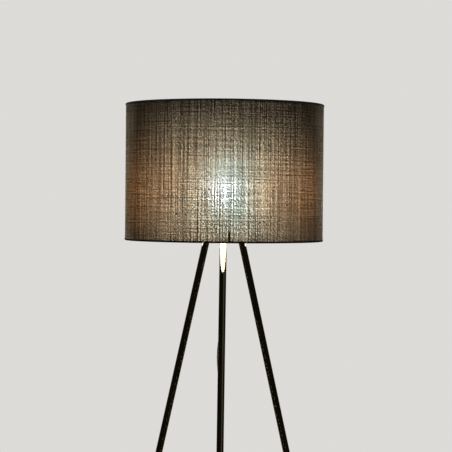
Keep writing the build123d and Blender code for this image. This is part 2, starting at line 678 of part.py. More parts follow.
def make_plug():
    """The mains plug, lying flat on the floor with its pins towards -Y and its tail towards the cord."""
    half = PLUG_WIDTH / 2
    neck = PLUG_NECK_WIDTH / 2
    outline = Polyline(
        (-neck, 0),
        (neck, 0),
        (half, -PLUG_NECK_LENGTH),
        (half, -PLUG_LENGTH),
        (-half, -PLUG_LENGTH),
        (-half, -PLUG_NECK_LENGTH),
        close=True,
    )
    body = extrude(make_face(outline), PLUG_HEIGHT)
    flanks = body.edges().filter_by(Axis.Z).group_by(Axis.Y)[1]
    body = fillet(flanks, 2 * PLUG_ROUND)
    rims = body.faces().sort_by(Axis.Z)[-1].edges() + body.faces().sort_by(Axis.Z)[0].edges()
    body = fillet(rims, PLUG_ROUND)
    tail = turned(
        (0, 0),
        (TAIL_DIAMETER / 2, 0),
        (TAIL_TIP_DIAMETER / 2, TAIL_LENGTH),
        (0, TAIL_LENGTH),
    )
    body += Plane((0, 0, PLUG_HEIGHT / 2), z_dir=(0, 1, 0)).location * tail
    pin_face = Plane((0, -PLUG_LENGTH, PLUG_HEIGHT / 2), x_dir=(1, 0, 0), z_dir=(0, -1, 0)).location
    pins = []
    for side in (-1, 1):
        across = pin_face * Pos(side * PIN_SPACING / 2, 0, 0)
        pin = rod(PIN_DIAMETER / 2, 0, PIN_LENGTH) + rod(PIN_ROOT_DIAMETER / 2, -PIN_ROOT_LENGTH, 0)
        pins.append(across * pin)
        body -= across * rod(PIN_ROOT_DIAMETER / 2 + PUSH_CLEARANCE, -PIN_ROOT_LENGTH, 0)
    place = Pos(PLUG_X, PLUG_Y - TAIL_LENGTH, 0)
    return {"plug_body": place * body, "plug_pins": Compound([place * pin for pin in pins])}


def box_middle():
    """How far the lamp's axis lies behind the middle of the standing lamp's box."""
    front = foot_circle + foot_radius / cos(lean)
    back_foot = foot_circle / 2 + hypot(foot_radius / cos(lean) / 2, foot_radius * sqrt(3) / 2)
    return (front - max(shade_radius, back_foot)) / 2


pieces = {
    **make_shade(),
    **make_legs(),
    **make_hub(),
    **make_lampholder(),
    **make_bulb(),
    **make_cord(),
    **make_foot_switch(),
    **make_plug(),
}
os.makedirs("parts", exist_ok=True)
for node, shape in pieces.items():
    export_step(Pos(0, box_middle(), 0) * shape, f"parts/{node}.step")
print(f"{len(pieces)} nodes, axis at y = {box_middle():.2f}, height {shade_top:.0f}")
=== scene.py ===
"""Tripod floor lamp: the looks of its cloth, metal, glass, plastic and cord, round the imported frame.

Metres, +Z up, -Y towards the viewer. Places come from the frame's own nodes and mounts.
"""

import json
import logging
from collections.abc import Callable, Iterable, Sequence
from dataclasses import dataclass
from enum import Enum
from functools import cached_property
from math import cos, pi, radians, sin

import bmesh
import bpy
from mathutils import Matrix, Vector


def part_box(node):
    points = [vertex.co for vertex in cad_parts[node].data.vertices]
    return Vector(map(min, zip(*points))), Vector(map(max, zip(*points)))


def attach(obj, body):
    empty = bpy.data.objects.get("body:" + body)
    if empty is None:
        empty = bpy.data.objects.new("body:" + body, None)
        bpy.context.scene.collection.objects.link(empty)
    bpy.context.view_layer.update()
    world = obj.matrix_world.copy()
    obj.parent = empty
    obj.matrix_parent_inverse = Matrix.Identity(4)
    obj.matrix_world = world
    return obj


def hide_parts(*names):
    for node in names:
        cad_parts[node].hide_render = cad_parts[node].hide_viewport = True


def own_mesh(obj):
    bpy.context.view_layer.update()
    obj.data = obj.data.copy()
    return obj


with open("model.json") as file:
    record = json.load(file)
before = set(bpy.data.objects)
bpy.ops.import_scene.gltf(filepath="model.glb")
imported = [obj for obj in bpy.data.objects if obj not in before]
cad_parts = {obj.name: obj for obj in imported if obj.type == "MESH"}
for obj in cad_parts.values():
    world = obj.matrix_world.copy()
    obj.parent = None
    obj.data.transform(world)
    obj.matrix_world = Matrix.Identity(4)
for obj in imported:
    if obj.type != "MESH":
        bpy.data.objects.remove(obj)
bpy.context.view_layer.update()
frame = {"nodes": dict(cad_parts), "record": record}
log = logging.getLogger("tripod_lamp")

Point = tuple[float, float]
Place = tuple[float, float, float]
Colour = tuple[float, float, float]

ORIGIN = (0.0, 0.0, 0.0)
UP = (0.0, 0.0, 1.0)
MERGE = 1e-6
SMOOTH_UNDER = radians(35.0)
BEVEL_OVER = radians(30.0)


class Body(Enum):
    """The frame's bodies that new pieces ride on."""

    LAMP = "lamp"
    BULB = "bulb"
    BUTTON = "switch_button"


class Side(Enum):
    """Which rim of the shade a tape is folded over, as the way from that rim into the shade."""

    TOP = -1.0
    BOTTOM = 1.0


def middle(node: str) -> Vector:
    """The middle of a CAD node's box."""
    low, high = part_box(node)
    return (Vector(low) + Vector(high)) / 2


def low_of(node: str) -> float:
    """The lowest height of a CAD node."""
    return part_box(node)[0][2]


def high_of(node: str) -> float:
    """The greatest height of a CAD node."""
    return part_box(node)[1][2]


def reach_of(node: str) -> float:
    """The greatest x of a CAD node, which is the radius of one that stands on the lamp's axis."""
    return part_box(node)[1][0]


AXIS = Vector((0.0, middle("hub_nipple").y, 0.0))
ON_AXIS = Matrix.Translation(AXIS)


def arc(centre: Point, radius: float, start: float, end: float, steps: int) -> list[Point]:
    """Points on an arc of an outline.

    Args:
        centre: the arc's centre, as radius and height.
        radius: the arc's own radius.
        start: first angle in degrees, from the outward direction.
        end: last angle in degrees.
        steps: how many chords stand for the arc.

    Returns:
        The points from start to end.
    """
    points = []
    for index in range(steps + 1):
        angle = radians(start + (end - start) * index / steps)
        points.append((centre[0] + radius * cos(angle), centre[1] + radius * sin(angle)))
    return points


class Sock:
    """A node's output, with arithmetic that adds Math nodes."""

    def __init__(self, graph: "Graph", socket: bpy.types.NodeSocket | None) -> None:
        """Keeps the graph and the socket."""
        self.graph = graph
        self.socket = socket

    def __add__(self, other: "Number") -> "Sock":
        """This plus a value."""
        return self.graph.math("ADD", self, other)

    def __sub__(self, other: "Number") -> "Sock":
        """This less a value."""
        return self.graph.math("SUBTRACT", self, other)

    def __rsub__(self, other: "Number") -> "Sock":
        """A value less this."""
        return self.graph.math("SUBTRACT", other, self)

    def __mul__(self, other: "Number") -> "Sock":
        """This times a value."""
        return self.graph.math("MULTIPLY", self, other)

    __radd__ = __add__
    __rmul__ = __mul__


Number = Sock | float
Input = Sock | float | Sequence[float]


class Graph:
    """The node tree of one material, or of the world."""

    def __init__(self, tree: bpy.types.NodeTree) -> None:
        """Starts from an empty tree."""
        tree.nodes.clear()
        self.tree = tree

    def node(
        self,
        kind: str,
        settings: dict[str, object] | None = None,
        inputs: dict[str | int, Input] | None = None,
        output: str | int = 0,
    ) -> Sock:
        """Adds a node.

        Args:
            kind: the node's type.
            settings: its properties, which are set first.
            inputs: values or links for its sockets, by name or number.
            output: the socket that is handed back.

        Returns:
            The chosen output, which is empty on an output node.
        """
        node = self.tree.nodes.new(kind)
        for key, value in (settings or {}).items():
            setattr(node, key, value)
        for key, value in (inputs or {}).items():
            if isinstance(value, Sock):
                self.tree.links.new(value.socket, node.inputs[key])
            else:
                node.inputs[key].default_value = value
        return Sock(self, node.outputs[output] if len(node.outputs) else None)

    def math(self, operation: str, *values: Number) -> Sock:
        """A Math node on one or more values."""
        return self.node("ShaderNodeMath", {"operation": operation}, dict(enumerate(values)))

    def step(self, value: Sock, low: float, high: float) -> Sock:
        """A smooth step from 0 at one value to 1 at another."""
        inputs = {"Value": value, "From Min": low, "From Max": high}
        return self.node("ShaderNodeMapRange", {"interpolation_type": "SMOOTHSTEP"}, inputs)

    def stretched(self, place: Sock, scale: Place) -> Sock:
        """Coordinates with a scale along each axis."""
        return self.node("ShaderNodeVectorMath", {"operation": "MULTIPLY"}, {0: place, 1: scale})

    def noise(self, place: Sock, scale: Place, detail: float) -> Sock:
        """Noise with a scale along each axis.

        Args:
            place: the coordinates that it reads.
            scale: cells in a metre along x, y and z.
            detail: how many finer layers are added.

        Returns:
            The noise, about 0.5 on average.
        """
        inputs = {"Vector": self.stretched(place, scale), "Scale": 1.0, "Detail": detail}
        return self.node("ShaderNodeTexNoise", {"noise_dimensions": "3D"}, inputs)

    def grain(self, cells: float, detail: float) -> Sock:
        """Noise on Object coordinates, with as many cells in a metre each way."""
        return self.noise(self.coordinates("Object"), (cells, cells, cells), detail)

    def part(self, place: Sock, axis: str) -> Sock:
        """One coordinate of a place."""
        return self.node("ShaderNodeSeparateXYZ", inputs={0: place}, output=axis)

    def length(self, place: Sock) -> Sock:
        """How far a place is from the origin."""
        return self.node("ShaderNodeVectorMath", {"operation": "LENGTH"}, {0: place}, output="Value")

    def coordinates(self, output: str) -> Sock:
        """Texture coordinates: UV or Object on a surface, Generated for the world."""
        return self.node("ShaderNodeTexCoord", output=output)

    def about_axis(self) -> Sock:
        """Object coordinates with the lamp's axis in the middle."""
        moved = {"Vector": self.coordinates("Object"), "Location": tuple(-AXIS)}
        return self.node("ShaderNodeMapping", {"vector_type": "POINT"}, moved)

    def mixed(self, factor: Number, first: Colour | Sock, second: Colour | Sock) -> Sock:
        """A blend of two colours."""
        inputs = {0: factor, 6: rgba(first), 7: rgba(second)}
        return self.node("ShaderNodeMix", {"data_type": "RGBA"}, inputs, output=2)

    def clouded(self, factor: Number, colour: Colour, shade: float) -> Sock:
        """A colour that falls to a share of itself where the factor is 1."""
        return self.mixed(factor, colour, tuple(shade * part for part in colour))

    def blended(self, factor: Number, first: Sock, second: Sock) -> Sock:
        """A blend of two shaders."""
        return self.node("ShaderNodeMixShader", inputs={0: factor, 1: first, 2: second})

    def bump(self, height: Sock, distance: float) -> Sock:
        """A normal bent by a height, where a height of 1 stands a distance proud."""
        return self.node("ShaderNodeBump", inputs={"Height": height, "Distance": distance})

    def principled(self, colour: Colour | Sock, roughness: Number, **more: Input) -> Sock:
        """The general shader.

        Args:
            colour: its base colour.
            roughness: its roughness.
            more: other sockets, with underscores for the spaces in their names.

        Returns:
            The shader.
        """
        inputs = {"Base Color": rgba(colour), "Roughness": roughness}
        inputs.update({key.replace("_", " "): value for key, value in more.items()})
        return self.node("ShaderNodeBsdfPrincipled", inputs=inputs)


def rgba(colour: Colour | Sock) -> Input:
    """A colour as a socket takes it."""
    return colour if isinstance(colour, Sock) else (*colour, 1.0)


@dataclass(frozen=True)
class Finish:
    """A surface finish: its material's name and the record's slot that it belongs to."""

    name: str
    slot: str

    def shader(self, graph: Graph) -> Sock:
        """The finish as nodes."""
        raise NotImplementedError

    @cached_property
    def material(self) -> bpy.types.Material:
        """The finish as a material, made once."""
        material = bpy.data.materials.new(self.name)
        material.use_nodes = True
        graph = Graph(material.node_tree)
        graph.node("ShaderNodeOutputMaterial", inputs={"Surface": self.shader(graph)})
        return material


@dataclass(frozen=True)
class Lobe:
    """Light that passes forwards through cloth. More bending spreads it further round the drum."""

    tint: Colour
    roughness: float
    bending: float

    def shader(self, graph: Graph, **more: Input) -> Sock:
        """The light as a shader, with more of its sockets set."""
        inputs = {"Color": rgba(self.tint), "Roughness": self.roughness, "IOR": self.bending, **more}
        return graph.node("ShaderNodeBsdfRefraction", inputs=inputs)


@dataclass(frozen=True)
class Linen(Finish):
    """Slub linen that the bulb shines through, with its weave on the sheet's own UV map."""

    thread_dark: Colour = (0.022, 0.0136, 0.0074)
    thread_pale: Colour = (0.054, 0.0333, 0.0182)
    scattered: Lobe = Lobe((1.0, 0.76, 0.475), 1.0, 2.5)
    fibrous: Lobe = Lobe((1.0, 0.36, 0.08), 0.65, 8.0)
    straight: Lobe = Lobe((0.15, 0.88, 1.0), 0.6, 1.55)
    narrow: Lobe = Lobe((0.8, 0.8, 1.0), 0.6, 1.3)
    openness: float = 0.0053
    fibre_share: float = 0.18
    straight_share: float = 0.14
    narrow_share: float = 0.052
    ripple: float = 0.0004
    relief: float = 0.0002
    yarn_count: float = 1000.0
    thinnest: float = 0.05
    warp_slub: float = 0.010
    weft_slub: float = 0.014
    warp_swing: float = 1.9
    weft_swing: float = 1.1
    knot_swing: float = 2.0
    band_swing: float = 0.6
    band_cells: Place = (45.0, 2.5, 1.0)

    def weave(self, graph: Graph) -> tuple[Sock, Sock, Sock]:
        """A plain weave of uneven yarns.

        Args:
            graph: where the nodes go.

        Returns:
            How open the cloth is, about 1 on average, how high its yarns stand, and the level yarns alone.
        """
        cloth = graph.coordinates("UV")
        along = graph.part(cloth, "X") * self.yarn_count
        across = graph.part(cloth, "Y") * self.yarn_count
        warp = graph.math("FLOOR", along)
        weft = graph.math("FLOOR", across)
        pair_of_warp = graph.math("FLOOR", warp * 0.5)
        pair_of_weft = graph.math("FLOOR", weft * 0.5)
        upright = self.uneven(graph, pair_of_warp, across * self.warp_slub)
        level = self.uneven(graph, pair_of_weft, along * self.weft_slub)
        bands = graph.noise(cloth, self.band_cells, 1.0) - 0.5
        knots = self.knots(graph, pair_of_warp, pair_of_weft)
        yarns = (1.0 + self.warp_swing * upright) * (1.0 + self.weft_swing * level)
        yarns = yarns * (1.0 + self.knot_swing * knots) * (1.0 + self.band_swing * bands)
        over = graph.math("PINGPONG", warp + weft, 1.0)
        level_ridge = self.ridge(graph, across)
        ridge = self.ridge(graph, along) * over + level_ridge * (1.0 - over)
        shown = graph.math("MAXIMUM", yarns, self.thinnest)
        return shown, 0.5 * ridge - upright - level - knots, level_ridge

    def uneven(self, graph: Graph, pair: Sock, place: Sock) -> Sock:
        """How much thinner a pair of yarns is than the next, which changes slowly along them.

        Args:
            graph: where the nodes go.
            pair: the pair's number.
            place: how far along the yarns it is.

        Returns:
            The unevenness, about 0 on average.
        """
        stretch = graph.math("FLOOR", place)
        share = graph.math("FRACT", place)
        sizes = []
        for number in (pair, pair + 1.0):
            here = self.spot(graph, number, stretch)
            sizes.append(here + (self.spot(graph, number, stretch + 1.0) - here) * share)
        return sizes[0] - 0.5 * sizes[1]

    def knots(self, graph: Graph, warp: Sock, weft: Sock) -> Sock:
        """Thick and thin spots, each where one pair of yarns crosses another."""
        beside = self.spot(graph, warp + 1.0, weft) + self.spot(graph, warp, weft + 1.0)
        return self.spot(graph, warp, weft) - 0.5 * beside

    def spot(self, graph: Graph, across: Sock, along: Sock) -> Sock:
        """A random size for one cell of the cloth, from -0.5 to 0.5."""
        cell = graph.node("ShaderNodeCombineXYZ", inputs={0: across, 1: along})
        return graph.node("ShaderNodeTexWhiteNoise", {"noise_dimensions": "2D"}, {"Vector": cell}) - 0.5

    def ridge(self, graph: Graph, place: Sock) -> Sock:
        """The round back of a yarn, from 0 at its edges to 1."""
        away = graph.math("FRACT", place) - 0.5
        return 1.0 - 4.0 * away * away

    def shader(self, graph: Graph) -> Sock:
        """Opaque threads, and between them openings that scatter the light forwards."""
        shown, height, ripples = self.weave(graph)
        colour = graph.mixed(0.5 * shown, self.thread_dark, self.thread_pale)
        yarn = {"Color": colour, "Normal": graph.bump(height, self.relief)}
        thread = graph.node("ShaderNodeBsdfDiffuse", inputs=yarn)
        straight = self.straight.shader(graph, Normal=graph.bump(ripples, self.ripple))
        opening = graph.blended(self.fibre_share, self.scattered.shader(graph), self.fibrous.shader(graph))
        opening = graph.blended(self.straight_share, opening, straight)
        opening = graph.blended(self.narrow_share, opening, self.narrow.shader(graph))
        return graph.blended(self.openness * shown, thread, opening)


@dataclass(frozen=True)
class BackingFilm(Finish):
    """Stiff white film that lets part of the light straight through."""

    white: Colour = (0.90, 0.89, 0.86)
    straight_share: float = 0.92
    gloss_share: float = 0.3
    gloss: float = 0.45
    cloud_cells: Place = (30.0, 30.0, 1.0)
    cloud_shade: float = 0.94

    def shader(self, graph: Graph) -> Sock:
        """White film, faintly clouded and half glossy."""
        cloud = graph.noise(graph.coordinates("UV"), self.cloud_cells, 3.0)
        colour = graph.clouded(cloud, self.white, self.cloud_shade)
        face = graph.node("ShaderNodeBsdfDiffuse", inputs={"Color": colour})
        shine = graph.node("ShaderNodeBsdfGlossy", inputs={"Color": colour, "Roughness": self.gloss})
        film = graph.blended(self.gloss_share, face, shine)
        return graph.blended(self.straight_share, film, graph.node("ShaderNodeBsdfTransparent"))


@dataclass(frozen=True)
class WovenTape(Finish):
    """Black woven tape, ribbed across its length."""

    dark: Colour = (0.006, 0.006, 0.006)
    worn: Colour = (0.022, 0.021, 0.020)
    rib_cells: Place = (1400.0, 260.0, 1.0)
    lint_cells: Place = (160.0, 400.0, 1.0)
    relief: float = 0.0002
    roughness: float = 0.85

    def shader(self, graph: Graph) -> Sock:
        """Fine cross ribs with some lint."""
        cloth = graph.coordinates("UV")
        ribs = graph.noise(cloth, self.rib_cells, 1.0)
        lint = graph.noise(cloth, self.lint_cells, 2.0)
        colour = graph.mixed(graph.step(lint, 0.45, 0.8), self.dark, self.worn)
        return graph.principled(colour, self.roughness, Normal=graph.bump(ribs, self.relief))


@dataclass(frozen=True)
class PolishedTube(Finish):
    """Polished, slightly tarnished brass tube with hairlines along it, on the tube's own UV map."""

    bright: Colour = (0.74, 0.61, 0.36)
    tarnished: Colour = (0.62, 0.50, 0.28)
    hairline_cells: Place = (1800.0, 4.0, 1.0)
    tarnish_cells: Place = (40.0, 9.0, 1.0)
    relief: float = 1.5e-6
    gloss: float = 0.02

    def shader(self, graph: Graph) -> Sock:
        """Mirror-like metal with a trace of tarnish and polishing lines."""
        tube = graph.coordinates("UV")
        hairlines = graph.noise(tube, self.hairline_cells, 2.0)
        tarnish = graph.noise(tube, self.tarnish_cells, 4.0)
        colour = graph.mixed(graph.step(tarnish, 0.42, 0.75), self.bright, self.tarnished)
        roughness = self.gloss + 0.015 * hairlines + 0.01 * graph.step(tarnish, 0.45, 0.8)
        return graph.principled(colour, roughness, Metallic=1.0, Normal=graph.bump(hairlines, self.relief))


@dataclass(frozen=True)
class TurnedBrass(Finish):
    """Brass turned on a lathe, with fine rings about the lamp's axis."""

    bright: Colour = (0.74, 0.61, 0.36)
    tarnished: Colour = (0.50, 0.38, 0.19)
    ring_cells: float = 2400.0
    tarnish_cells: Place = (45.0, 45.0, 45.0)
    relief: float = 0.00002
    gloss: float = 0.12

    def shader(self, graph: Graph) -> Sock:
        """Polished metal with turning marks and a trace of tarnish."""
        place = graph.about_axis()
        radius = graph.length(graph.stretched(place, (1.0, 1.0, 0.0)))
        profile = graph.node("ShaderNodeCombineXYZ", inputs={0: radius, 1: graph.part(place, "Z")})
        marks = {"Vector": profile, "Scale": self.ring_cells, "Detail": 1.0}
        rings = graph.node("ShaderNodeTexNoise", {"noise_dimensions": "2D"}, marks)
        tarnish = graph.noise(place, self.tarnish_cells, 4.0)
        colour = graph.mixed(graph.step(tarnish, 0.42, 0.75), self.bright, self.tarnished)
        roughness = self.gloss + 0.10 * rings + 0.06 * tarnish
        return graph.principled(colour, roughness, Metallic=1.0, Normal=graph.bump(rings, self.relief))


@dataclass(frozen=True)
class Metal(Finish):
    """Plated, rolled or drawn metal with a little cloudiness."""

    colour: Colour
    roughness: float
    shade: float = 0.75
    cells: float = 220.0
    relief: float = 0.00003

    def shader(self, graph: Graph) -> Sock:
        """Metal whose gloss and colour vary a little."""
        cloud = graph.grain(self.cells, 4.0)
        dull = graph.step(cloud, 0.35, 0.75)
        colour = graph.clouded(dull, self.colour, self.shade)
        roughness = self.roughness + 0.12 * dull
        return graph.principled(colour, roughness, Metallic=1.0, Normal=graph.bump(cloud, self.relief))


@dataclass(frozen=True)
class Moulded(Finish):
    """Moulded plastic, rubber, lacquer or fired clay: one colour with a grain of its own."""

    colour: Colour
    rubbed: Colour
    roughness: float
    grain: float
    depth: float = 0.00003
    coat: float = 0.0
    patch_cells: float = 60.0

    def shader(self, graph: Graph) -> Sock:
        """A grained surface with rubbed patches."""
        grain = graph.grain(self.grain, 1.0)
        patches = graph.step(graph.grain(self.patch_cells, 4.0), 0.45, 0.8)
        colour = graph.mixed(patches, self.colour, self.rubbed)
        roughness = self.roughness + 0.10 * grain - 0.08 * patches
        normal = graph.bump(grain, self.depth)
        return graph.principled(colour, roughness, Normal=normal, Coat_Weight=self.coat)


@dataclass(frozen=True)
class LitGlass(Finish):
    """Frosted bulb glass, lit all over."""

    frost: Colour = (0.93, 0.95, 0.96)
    light: Colour = (0.88, 0.96, 1.0)
    strength: float = 2000.0
    cells: float = 900.0
    shade: float = 0.96

    def shader(self, graph: Graph) -> Sock:
        """White frosting that glows."""
        frost = graph.grain(self.cells, 2.0)
        colour = graph.clouded(frost, self.frost, self.shade)
        return graph.principled(colour, 0.35 + 0.2 * frost, Emission_Color=rgba(self.light),
                                Emission_Strength=self.strength)


@dataclass(frozen=True)
class StemGlass(Finish):
    """Clear stem glass with a faint cloud."""

    tint: Colour = (0.92, 0.95, 0.95)
    clearness: float = 0.9
    cells: float = 300.0

    def shader(self, graph: Graph) -> Sock:
        """Clear glass."""
        cloud = graph.grain(self.cells, 2.0)
        return graph.principled(self.tint, 0.03 + 0.06 * cloud, Transmission_Weight=self.clearness)


@dataclass(frozen=True)
class Phosphor(Finish):
    """The bulb's yellow lit sticks."""

    yellow: Colour = (0.95, 0.80, 0.35)
    light: Colour = (1.0, 0.85, 0.5)
    strength: float = 8.0
    cells: float = 1200.0
    shade: float = 0.85
    roughness: float = 0.5

    def shader(self, graph: Graph) -> Sock:
        """A grainy yellow coating that glows."""
        colour = graph.clouded(graph.grain(self.cells, 2.0), self.yellow, self.shade)
        return graph.principled(colour, self.roughness, Emission_Color=rgba(self.light),
                                Emission_Strength=self.strength)


@dataclass(frozen=True)
class StudioFloor(Finish):
    """A pale floor that fades out towards its edge."""

    pale: Colour = (0.66, 0.652, 0.635)
    fade_from: float = 0.45
    fade_to: float = 1.05
    cells: float = 6.0
    shade: float = 0.97

    def shader(self, graph: Graph) -> Sock:
        """Pale matt paint, clear at the edge and from below."""
        colour = graph.clouded(graph.grain(self.cells, 3.0), self.pale, self.shade)
        paint = graph.node("ShaderNodeBsdfDiffuse", inputs={"Color": colour})
        edge = graph.step(graph.length(graph.coordinates("Object")), self.fade_from, self.fade_to)
        below = graph.node("ShaderNodeNewGeometry", output="Backfacing")
        return graph.blended(edge + below - edge * below, paint, graph.node("ShaderNodeBsdfTransparent"))


LINEN = Linen("shade_linen", "linen")
FILM = BackingFilm("shade_film", "backing")
TAPE = WovenTape("edge_tape", "edge_tape")
WIRE = Moulded("black_lacquered_wire", "wire", (0.012, 0.012, 0.012), (0.03, 0.028, 0.026),
               0.30, 900.0, 2e-5, 0.4)
TUBE_BRASS = PolishedTube("polished_brass_tube", "brass")
HUB_BRASS = TurnedBrass("turned_brass", "brass")
ZINC = Metal("zinc_plated_steel", "steel", (0.56, 0.57, 0.60), 0.28)
RUBBER = Moulded("foot_rubber", "foot_rubber", (0.022, 0.022, 0.022), (0.06, 0.058, 0.055),
                 0.62, 1100.0, 6e-5)
HOLDER = Moulded("holder_thermoset", "holder_black", (0.016, 0.016, 0.017), (0.035, 0.034, 0.033),
                 0.32, 2600.0)
PORCELAIN = Moulded("holder_porcelain", "holder_white", (0.84, 0.83, 0.79), (0.78, 0.76, 0.71),
                    0.5, 1800.0)
CONTACT = Metal("pressed_brass", "contact_brass", (0.70, 0.55, 0.28), 0.30)
CAP_METAL = Metal("rolled_aluminium", "bulb_metal", (0.74, 0.74, 0.75), 0.20)
BLACK_GLASS = Moulded("black_glass", "bulb_black", (0.01, 0.01, 0.011), (0.014, 0.014, 0.015),
                      0.10, 500.0, 5e-6, 0.5)
BULB_GLASS = LitGlass("frosted_bulb_glass", "bulb_frosted")
STEM_GLASS = StemGlass("stem_glass", "bulb_clear")
STICKS = Phosphor("phosphor_sticks", "bulb_stick")
SHEATH = Moulded("cord_sheath", "cord", (0.150, 0.143, 0.135), (0.19, 0.182, 0.172),
                 0.45, 1300.0, 2e-5)
STRAP = Moulded("hook_and_loop_strap", "tie", (0.02, 0.02, 0.02), (0.05, 0.05, 0.05),
                0.8, 2400.0, 2e-4)
SWITCH = Moulded("switch_plastic", "switch_black", (0.020, 0.020, 0.021), (0.042, 0.041, 0.040),
                 0.42, 3200.0, 5e-5)
SPRING = Metal("spring_steel", "spring_steel", (0.62, 0.62, 0.62), 0.18)
NICKEL = Metal("nickel_plate", "pin_nickel", (0.76, 0.75, 0.72), 0.16)


class Form:
    """A mesh in the making, shaped by bmesh operators."""

    def __init__(self) -> None:
        """Starts empty."""
        self.mesh = bmesh.new()

    @classmethod
    def turned(cls, outline: Sequence[Point], steps: int = 96) -> "Form":
        """A full turn of an outline about Z.

        Args:
            outline: points as radius and height. A wall ends where it started.
            steps: how many flats the turn has.

        Returns:
            The form, with a UV map of metres round it and along it.
        """
        form = cls()
        verts = [form.mesh.verts.new((radius, 0.0, height)) for radius, height in outline]
        edges = [form.mesh.edges.new(pair) for pair in zip(verts, verts[1:])]
        bmesh.ops.spin(form.mesh, geom=verts + edges, cent=ORIGIN, axis=UP, dvec=ORIGIN, angle=2 * pi,
                       steps=steps, use_merge=True)
        return form.tidied().wrapped()

    @classmethod
    def threaded(cls, crest: float, root: float, pitch: float, low: float, high: float) -> "Form":
        """A threaded wall about Z, cut flat at both ends.

        Args:
            crest: radius over the thread.
            root: radius at the bottom of the thread.
            pitch: rise in one turn.
            low: lower end.
            high: upper end.

        Returns:
            The form, open at its ends.
        """
        form = cls()
        waves = 10
        steps = 64
        turns = int((high - low) / pitch) + 3
        verts = []
        for index in range(waves + 1):
            share = index / waves
            radius = root + (crest - root) * (0.5 - 0.5 * cos(2 * pi * share))
            verts.append(form.mesh.verts.new((radius, 0.0, low + pitch * (share - 1))))
        edges = [form.mesh.edges.new(pair) for pair in zip(verts, verts[1:])]
        bmesh.ops.spin(form.mesh, geom=verts + edges, cent=ORIGIN, axis=UP, dvec=(0.0, 0.0, pitch / steps),
                       angle=2 * pi * turns, steps=steps * turns)
        form.tidied()
        form.cut(low, keep_above=True)
        form.cut(high, keep_above=False)
        return form

    @classmethod
    def bent(cls, length: float, width: float, cells: tuple[int, int],
             place: Callable[[float, float], Place]) -> "Form":
        """A flat sheet, with its UV map in metres, bent to shape.

        Args:
            length: the sheet's long side.
            width: its short side.
            cells: how many cells it has along and across.
            place: where a flat point goes.

        Returns:
            The bent sheet.
        """
        form = cls()
        flat = Matrix.Diagonal((length, width, 1.0, 1.0)) @ Matrix.Translation((0.5, 0.5, 0.0))
        bmesh.ops.create_grid(form.mesh, x_segments=cells[0], y_segments=cells[1], size=0.5, matrix=flat)
        layer = form.mesh.loops.layers.uv.new("UVMap")
        for face in form.mesh.faces:
            for loop in face.loops:
                loop[layer].uv = loop.vert.co.xy
        for vert in form.mesh.verts:
            vert.co = place(vert.co.x, vert.co.y)
        form.mesh.normal_update()
        return form

    def tidied(self) -> "Form":
        """Merges doubles and turns the faces outwards."""
        self.closed()
        bmesh.ops.recalc_face_normals(self.mesh, faces=self.mesh.faces)
        return self

    def closed(self) -> "Form":
        """Merges doubles, which also joins the two ends of a rolled sheet."""
        bmesh.ops.remove_doubles(self.mesh, verts=self.mesh.verts, dist=MERGE)
        return self

    def wrapped(self) -> "Form":
        """Gives the form a UV map of metres round Z and along it."""
        layer = self.mesh.loops.layers.uv.verify()
        for face in self.mesh.faces:
            centre = face.calc_center_median()
            for loop in face.loops:
                corner = loop.vert.co.xy
                turn = centre.xy.angle_signed(corner, 0.0) if corner.length > MERGE else 0.0
                around = Vector((1.0, 0.0)).angle_signed(centre.xy, 0.0) + turn
                loop[layer].uv = (around * centre.xy.length, loop.vert.co.z)
        return self

    def softened(self, width: float, segments: int = 2) -> "Form":
        """Bevels every sharp edge."""
        edges = [edge for edge in self.mesh.edges if edge.is_manifold]
        sharp = [edge for edge in edges if edge.calc_face_angle() > BEVEL_OVER]
        return self.bevelled(sharp, width, segments)

    def bevelled(self, edges: list[bmesh.types.BMEdge], width: float, segments: int) -> "Form":
        """Bevels some edges."""
        bmesh.ops.bevel(self.mesh, geom=edges, offset=width, offset_type="OFFSET", segments=segments,
                        profile=0.5, affect="EDGES", clamp_overlap=True, material=-1)
        return self

    def placed(self, matrix: Matrix) -> "Form":
        """Moves the whole form."""
        bmesh.ops.transform(self.mesh, matrix=matrix, verts=self.mesh.verts)
        return self

    def cut(self, height: float, keep_above: bool) -> "Form":
        """Cuts the form flat at a height and keeps one side, open."""
        geom = [*self.mesh.verts, *self.mesh.edges, *self.mesh.faces]
        bmesh.ops.bisect_plane(self.mesh, geom=geom, dist=MERGE, plane_co=(0.0, 0.0, height), plane_no=UP,
                               clear_inner=keep_above, clear_outer=not keep_above)
        return self

    def filled(self) -> "Form":
        """Closes every open rim with a face."""
        rims = [edge for edge in self.mesh.edges if edge.is_boundary]
        bmesh.ops.holes_fill(self.mesh, edges=rims, sides=0)
        return self

    def joined(self, other: "Form") -> "Form":
        """Takes another form into this one."""
        mesh = bpy.data.meshes.new("joined")
        other.mesh.to_mesh(mesh)
        other.mesh.free()
        self.mesh.from_mesh(mesh)
        bpy.data.meshes.remove(mesh)
        return self

    def piece(self, name: str, finish: Finish, body: Body,
              stands_for: Iterable[str] = ()) -> bpy.types.Object:
        """Makes the form a piece of the lamp.

        Args:
            name: the piece's name.
            finish: what it is made of.
            body: the body that it rides on.
            stands_for: the CAD nodes that it replaces.

        Returns:
            The piece.
        """
        mesh = bpy.data.meshes.new(name)
        self.mesh.to_mesh(mesh)
        self.mesh.free()
        mesh.shade_smooth()
        mesh.set_sharp_from_angle(angle=SMOOTH_UNDER)
        return add_piece(name, mesh, finish, body, stands_for)


def add_object(name: str, data: bpy.types.ID) -> bpy.types.Object:
    """Adds an object to the scene."""
    made = bpy.data.objects.new(name, data)
    bpy.context.scene.collection.objects.link(made)
    return made


